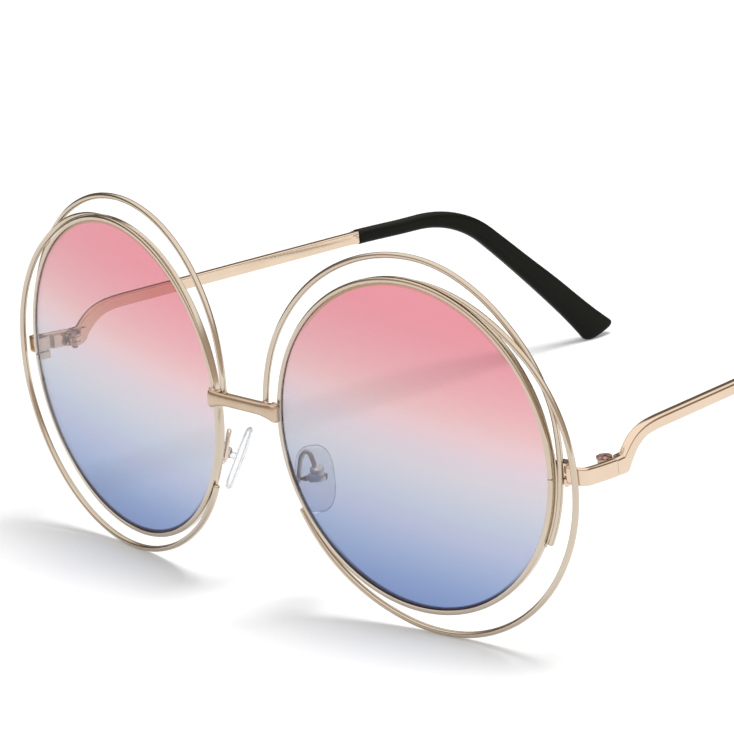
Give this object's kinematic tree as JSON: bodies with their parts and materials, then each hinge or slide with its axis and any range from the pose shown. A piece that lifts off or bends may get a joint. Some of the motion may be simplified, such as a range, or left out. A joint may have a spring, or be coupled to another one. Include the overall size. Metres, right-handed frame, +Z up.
{
  "type": "sunglasses",
  "caption": "Oversized round sunglasses with a gradient lens in a thin metal rim, two bent wires round each rim, folding temples and rocking nose pads.",
  "frame": {"origin": "centre of the box in x and y, on the table at z = 0, under the lower wires and the ends of the tips", "axes": "+X to the wearer's left, -Y the way the lenses face, +Z up"},
  "size_m": [0.1524, 0.1566, 0.0709],
  "materials": {
    "frame_metal": "polished pale gold plating",
    "screw_metal": "plated to match the frame",
    "lens_tint": "clear tint that runs from pink at the top to blue at the bottom",
    "black_acetate": "polished",
    "clear_silicone": "clear, soft"
  },
  "bodies": {
    "front": {"bridge": "frame_metal", "left_rim": "frame_metal", "left_lens": "lens_tint", "left_upper_wire": "frame_metal", "left_lower_wire": "frame_metal", "left_upper_block": "frame_metal", "left_lower_block": "frame_metal", "left_block_screw": "screw_metal", "left_end_piece": "frame_metal", "left_front_leaf": "frame_metal", "left_hinge_screw": "screw_metal", "left_pad_arm": "frame_metal", "left_pad_box": "frame_metal", "left_pad_screw": "screw_metal", "right_rim": "frame_metal", "right_lens": "lens_tint", "right_upper_wire": "frame_metal", "right_lower_wire": "frame_metal", "right_upper_block": "frame_metal", "right_lower_block": "frame_metal", "right_block_screw": "screw_metal", "right_end_piece": "frame_metal", "right_front_leaf": "frame_metal", "right_hinge_screw": "screw_metal", "right_pad_arm": "frame_metal", "right_pad_box": "frame_metal", "right_pad_screw": "screw_metal"},
    "left_temple_body": {"left_temple_leaf": "frame_metal", "left_temple": "frame_metal", "left_tip": "black_acetate"},
    "left_pad_body": {"left_nose_pad": "clear_silicone"},
    "right_temple_body": {"right_temple_leaf": "frame_metal", "right_temple": "frame_metal", "right_tip": "black_acetate"},
    "right_pad_body": {"right_nose_pad": "clear_silicone"}
  },
  "joints": [
    {"name": "left_temple_fold", "type": "hinge", "parent": "front", "child": "left_temple_body", "pos_m": [0.07229, -0.05694, 0.03378], "axis": [0, 0, 1], "range_deg": [0, 86]},
    {"name": "right_temple_fold", "type": "hinge", "parent": "front", "child": "right_temple_body", "pos_m": [-0.07229, -0.05694, 0.03378], "axis": [0, 0, -1], "range_deg": [0, 80]},
    {"name": "left_pad_rock", "type": "hinge", "parent": "front", "child": "left_pad_body", "pos_m": [0.0124, -0.0717, 0.02476], "axis": [0.6388, 0.7694, 0], "range_deg": [-8, 8]},
    {"name": "right_pad_rock", "type": "hinge", "parent": "front", "child": "right_pad_body", "pos_m": [-0.0124, -0.0717, 0.02476], "axis": [-0.6388, 0.7694, 0], "range_deg": [-8, 8]}
  ]
}
